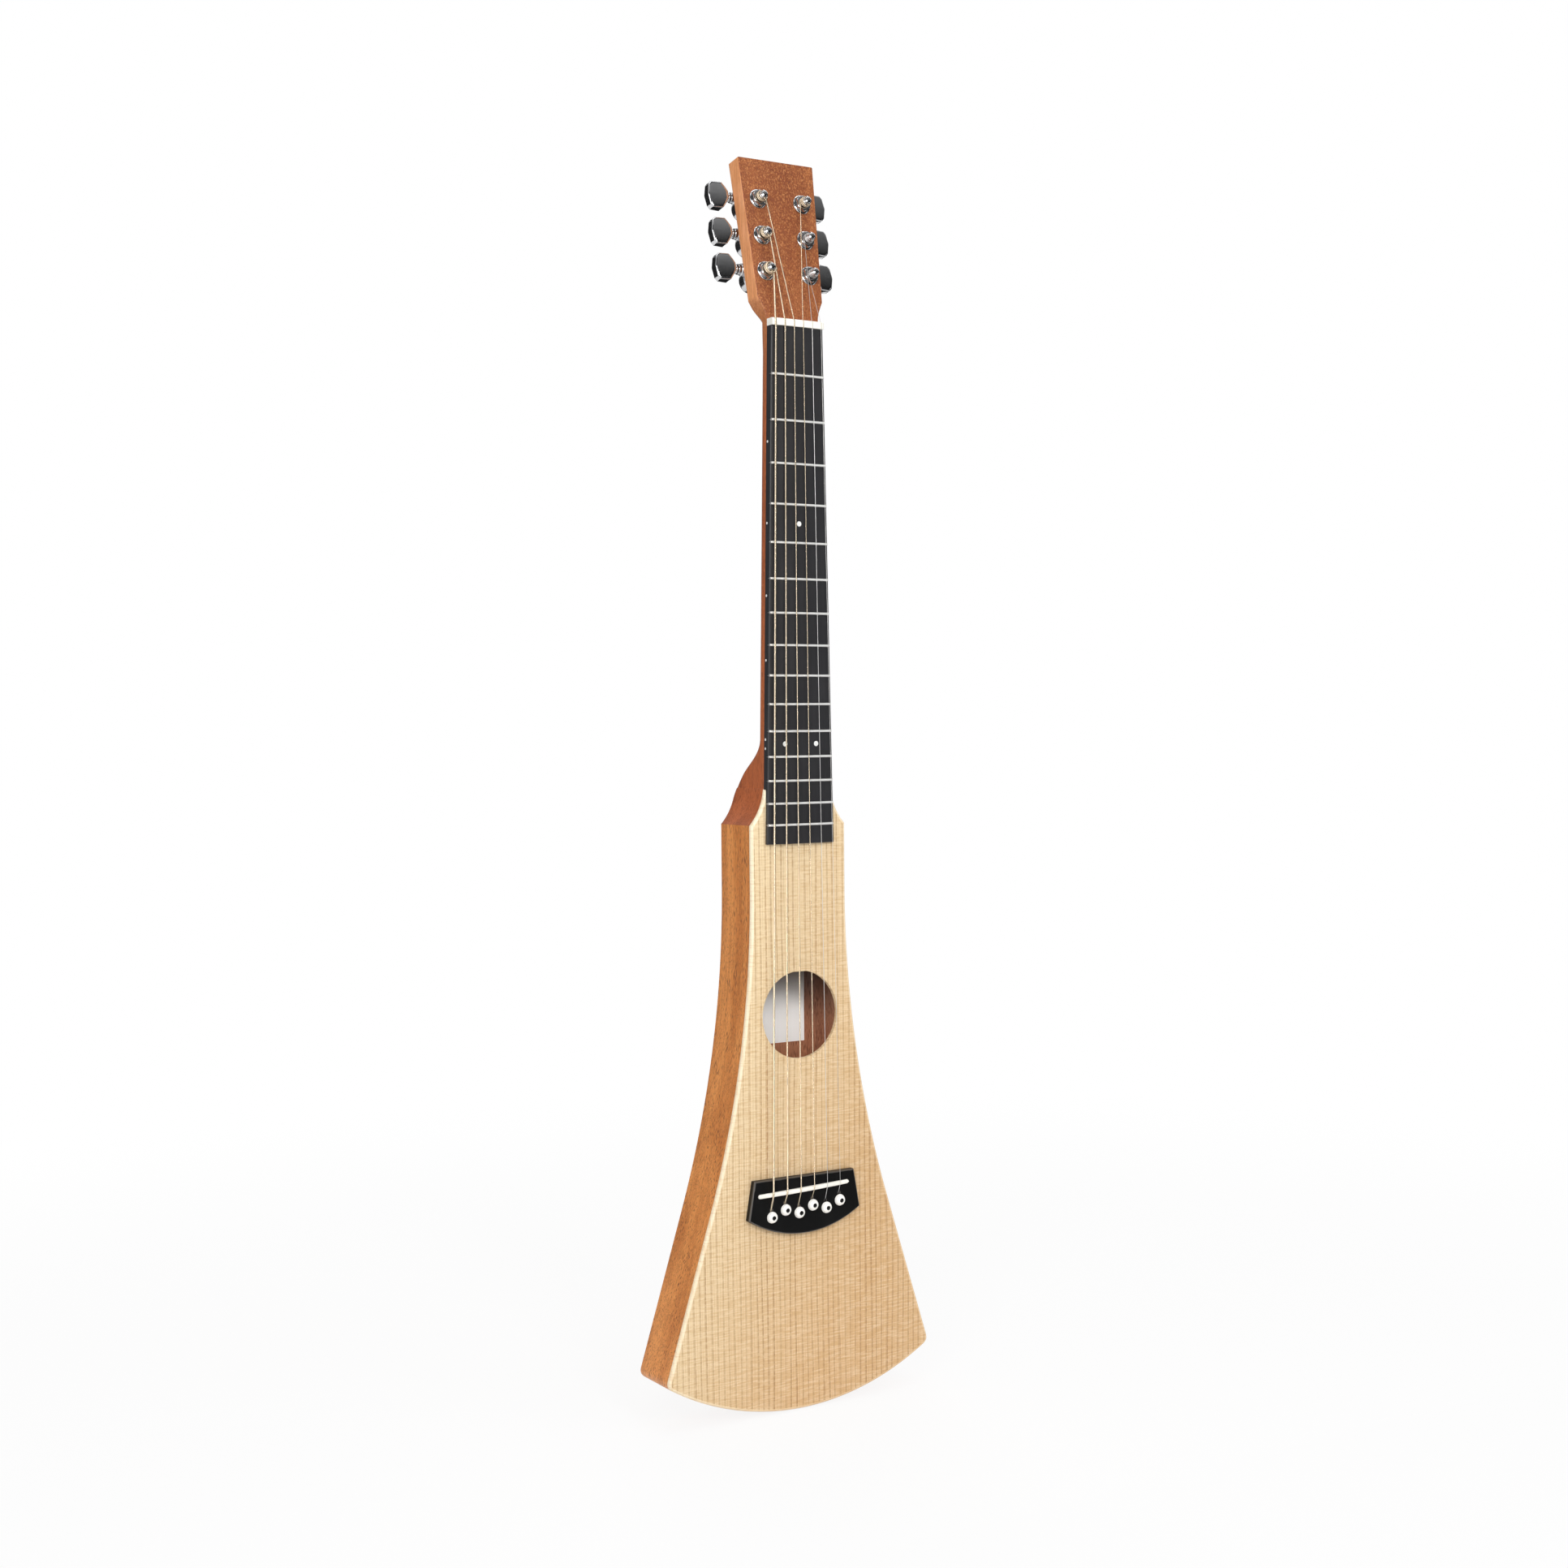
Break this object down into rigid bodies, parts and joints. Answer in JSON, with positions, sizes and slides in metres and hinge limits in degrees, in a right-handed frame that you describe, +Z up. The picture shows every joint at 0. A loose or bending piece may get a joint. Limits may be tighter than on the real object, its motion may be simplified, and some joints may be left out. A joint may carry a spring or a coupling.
{
  "type": "travel guitar",
  "caption": "Slim paddle-bodied steel-string travel guitar with a round soundhole, pinned bridge and geared tuning machines.",
  "frame": {"origin": "on the centre line of the neck's face where the nut meets the fretboard, which is where a hanger's yoke holds the neck under the headstock", "axes": "+Z up the neck towards the headstock, -Y out of the front (strings), +X to the treble side"},
  "size_m": [0.219, 0.0545, 0.8975],
  "materials": {
    "mahogany_body": "satin, orange brown with short dark pores",
    "spruce_top": "satin, pale with fine straight grain",
    "mahogany_neck": "satin, reddish brown",
    "black_laminate": "satin black laminate",
    "white_nut": "polished off-white",
    "white_saddle": "polished off-white",
    "black_bridge": "satin black laminate",
    "plate_wood": "bare hardwood",
    "brace_spruce": "bare spruce",
    "fret_wire": "polished nickel silver",
    "wound_string": "bronze wound",
    "plain_string": "bright drawn steel",
    "pin_plastic": "white with a black dot",
    "chrome_casting": "polished chrome plate",
    "chrome_bushing": "polished chrome plate",
    "chrome_post": "polished chrome plate",
    "chrome_key": "polished chrome plate"
  },
  "bodies": {
    "root": {"body_shell": "mahogany_body", "soundboard": "spruce_top", "neck": "mahogany_neck", "fretboard": "black_laminate", "nut": "white_nut", "saddle": "white_saddle", "bridge": "black_bridge", "bridge_plate": "plate_wood", "cross_brace": "brace_spruce", "fret_1": "fret_wire", "fret_2": "fret_wire", "fret_3": "fret_wire", "fret_4": "fret_wire", "fret_5": "fret_wire", "fret_6": "fret_wire", "fret_7": "fret_wire", "fret_8": "fret_wire", "fret_9": "fret_wire", "fret_10": "fret_wire", "fret_11": "fret_wire", "fret_12": "fret_wire", "fret_13": "fret_wire", "fret_14": "fret_wire", "fret_15": "fret_wire", "string_low_e": "wound_string", "pin_low_e": "pin_plastic", "housing_low_e": "chrome_casting", "bushing_low_e": "chrome_bushing", "string_a": "wound_string", "pin_a": "pin_plastic", "housing_a": "chrome_casting", "bushing_a": "chrome_bushing", "string_d": "wound_string", "pin_d": "pin_plastic", "housing_d": "chrome_casting", "bushing_d": "chrome_bushing", "string_g": "wound_string", "pin_g": "pin_plastic", "housing_g": "chrome_casting", "bushing_g": "chrome_bushing", "string_b": "plain_string", "pin_b": "pin_plastic", "housing_b": "chrome_casting", "bushing_b": "chrome_bushing", "string_high_e": "plain_string", "pin_high_e": "pin_plastic", "housing_high_e": "chrome_casting", "bushing_high_e": "chrome_bushing"},
    "key_low_e": {"key_low_e": "chrome_key"},
    "post_low_e": {"post_low_e": "chrome_post"},
    "key_a": {"key_a": "chrome_key"},
    "post_a": {"post_a": "chrome_post"},
    "key_d": {"key_d": "chrome_key"},
    "post_d": {"post_d": "chrome_post"},
    "key_g": {"key_g": "chrome_key"},
    "post_g": {"post_g": "chrome_post"},
    "key_b": {"key_b": "chrome_key"},
    "post_b": {"post_b": "chrome_post"},
    "key_high_e": {"key_high_e": "chrome_key"},
    "post_high_e": {"post_high_e": "chrome_post"}
  },
  "joints": [
    {"name": "key_turn_low_e", "type": "hinge", "parent": "root", "child": "key_low_e", "pos_m": [-0.0382, 0.02648, 0.04362], "axis": [-1, 0, 0], "continuous": true},
    {"name": "post_turn_low_e", "type": "hinge", "parent": "root", "child": "post_low_e", "pos_m": [-0.0182, 0.00649, 0.04], "axis": [0, -0.9833, 0.1822], "continuous": true},
    {"name": "key_turn_a", "type": "hinge", "parent": "root", "child": "key_a", "pos_m": [-0.0382, 0.03133, 0.06978], "axis": [-1, 0, 0], "continuous": true},
    {"name": "post_turn_a", "type": "hinge", "parent": "root", "child": "post_a", "pos_m": [-0.0182, 0.01133, 0.06616], "axis": [0, -0.9833, 0.1822], "continuous": true},
    {"name": "key_turn_d", "type": "hinge", "parent": "root", "child": "key_d", "pos_m": [-0.0382, 0.03627, 0.09642], "axis": [-1, 0, 0], "continuous": true},
    {"name": "post_turn_d", "type": "hinge", "parent": "root", "child": "post_d", "pos_m": [-0.0182, 0.01627, 0.0928], "axis": [0, -0.9833, 0.1822], "continuous": true},
    {"name": "key_turn_g", "type": "hinge", "parent": "root", "child": "key_g", "pos_m": [0.0382, 0.03627, 0.09642], "axis": [1, 0, 0], "continuous": true},
    {"name": "post_turn_g", "type": "hinge", "parent": "root", "child": "post_g", "pos_m": [0.0182, 0.01627, 0.0928], "axis": [0, -0.9833, 0.1822], "continuous": true},
    {"name": "key_turn_b", "type": "hinge", "parent": "root", "child": "key_b", "pos_m": [0.0382, 0.03133, 0.06978], "axis": [1, 0, 0], "continuous": true},
    {"name": "post_turn_b", "type": "hinge", "parent": "root", "child": "post_b", "pos_m": [0.0182, 0.01133, 0.06616], "axis": [0, -0.9833, 0.1822], "continuous": true},
    {"name": "key_turn_high_e", "type": "hinge", "parent": "root", "child": "key_high_e", "pos_m": [0.0382, 0.02648, 0.04362], "axis": [1, 0, 0], "continuous": true},
    {"name": "post_turn_high_e", "type": "hinge", "parent": "root", "child": "post_high_e", "pos_m": [0.0182, 0.00649, 0.04], "axis": [0, -0.9833, 0.1822], "continuous": true}
  ],
  "couplings": [
    {"joint": "post_turn_low_e", "follows": "key_turn_low_e", "ratio": 0.071429},
    {"joint": "post_turn_a", "follows": "key_turn_a", "ratio": 0.071429},
    {"joint": "post_turn_d", "follows": "key_turn_d", "ratio": 0.071429},
    {"joint": "post_turn_g", "follows": "key_turn_g", "ratio": 0.071429},
    {"joint": "post_turn_b", "follows": "key_turn_b", "ratio": 0.071429},
    {"joint": "post_turn_high_e", "follows": "key_turn_high_e", "ratio": 0.071429}
  ]
}
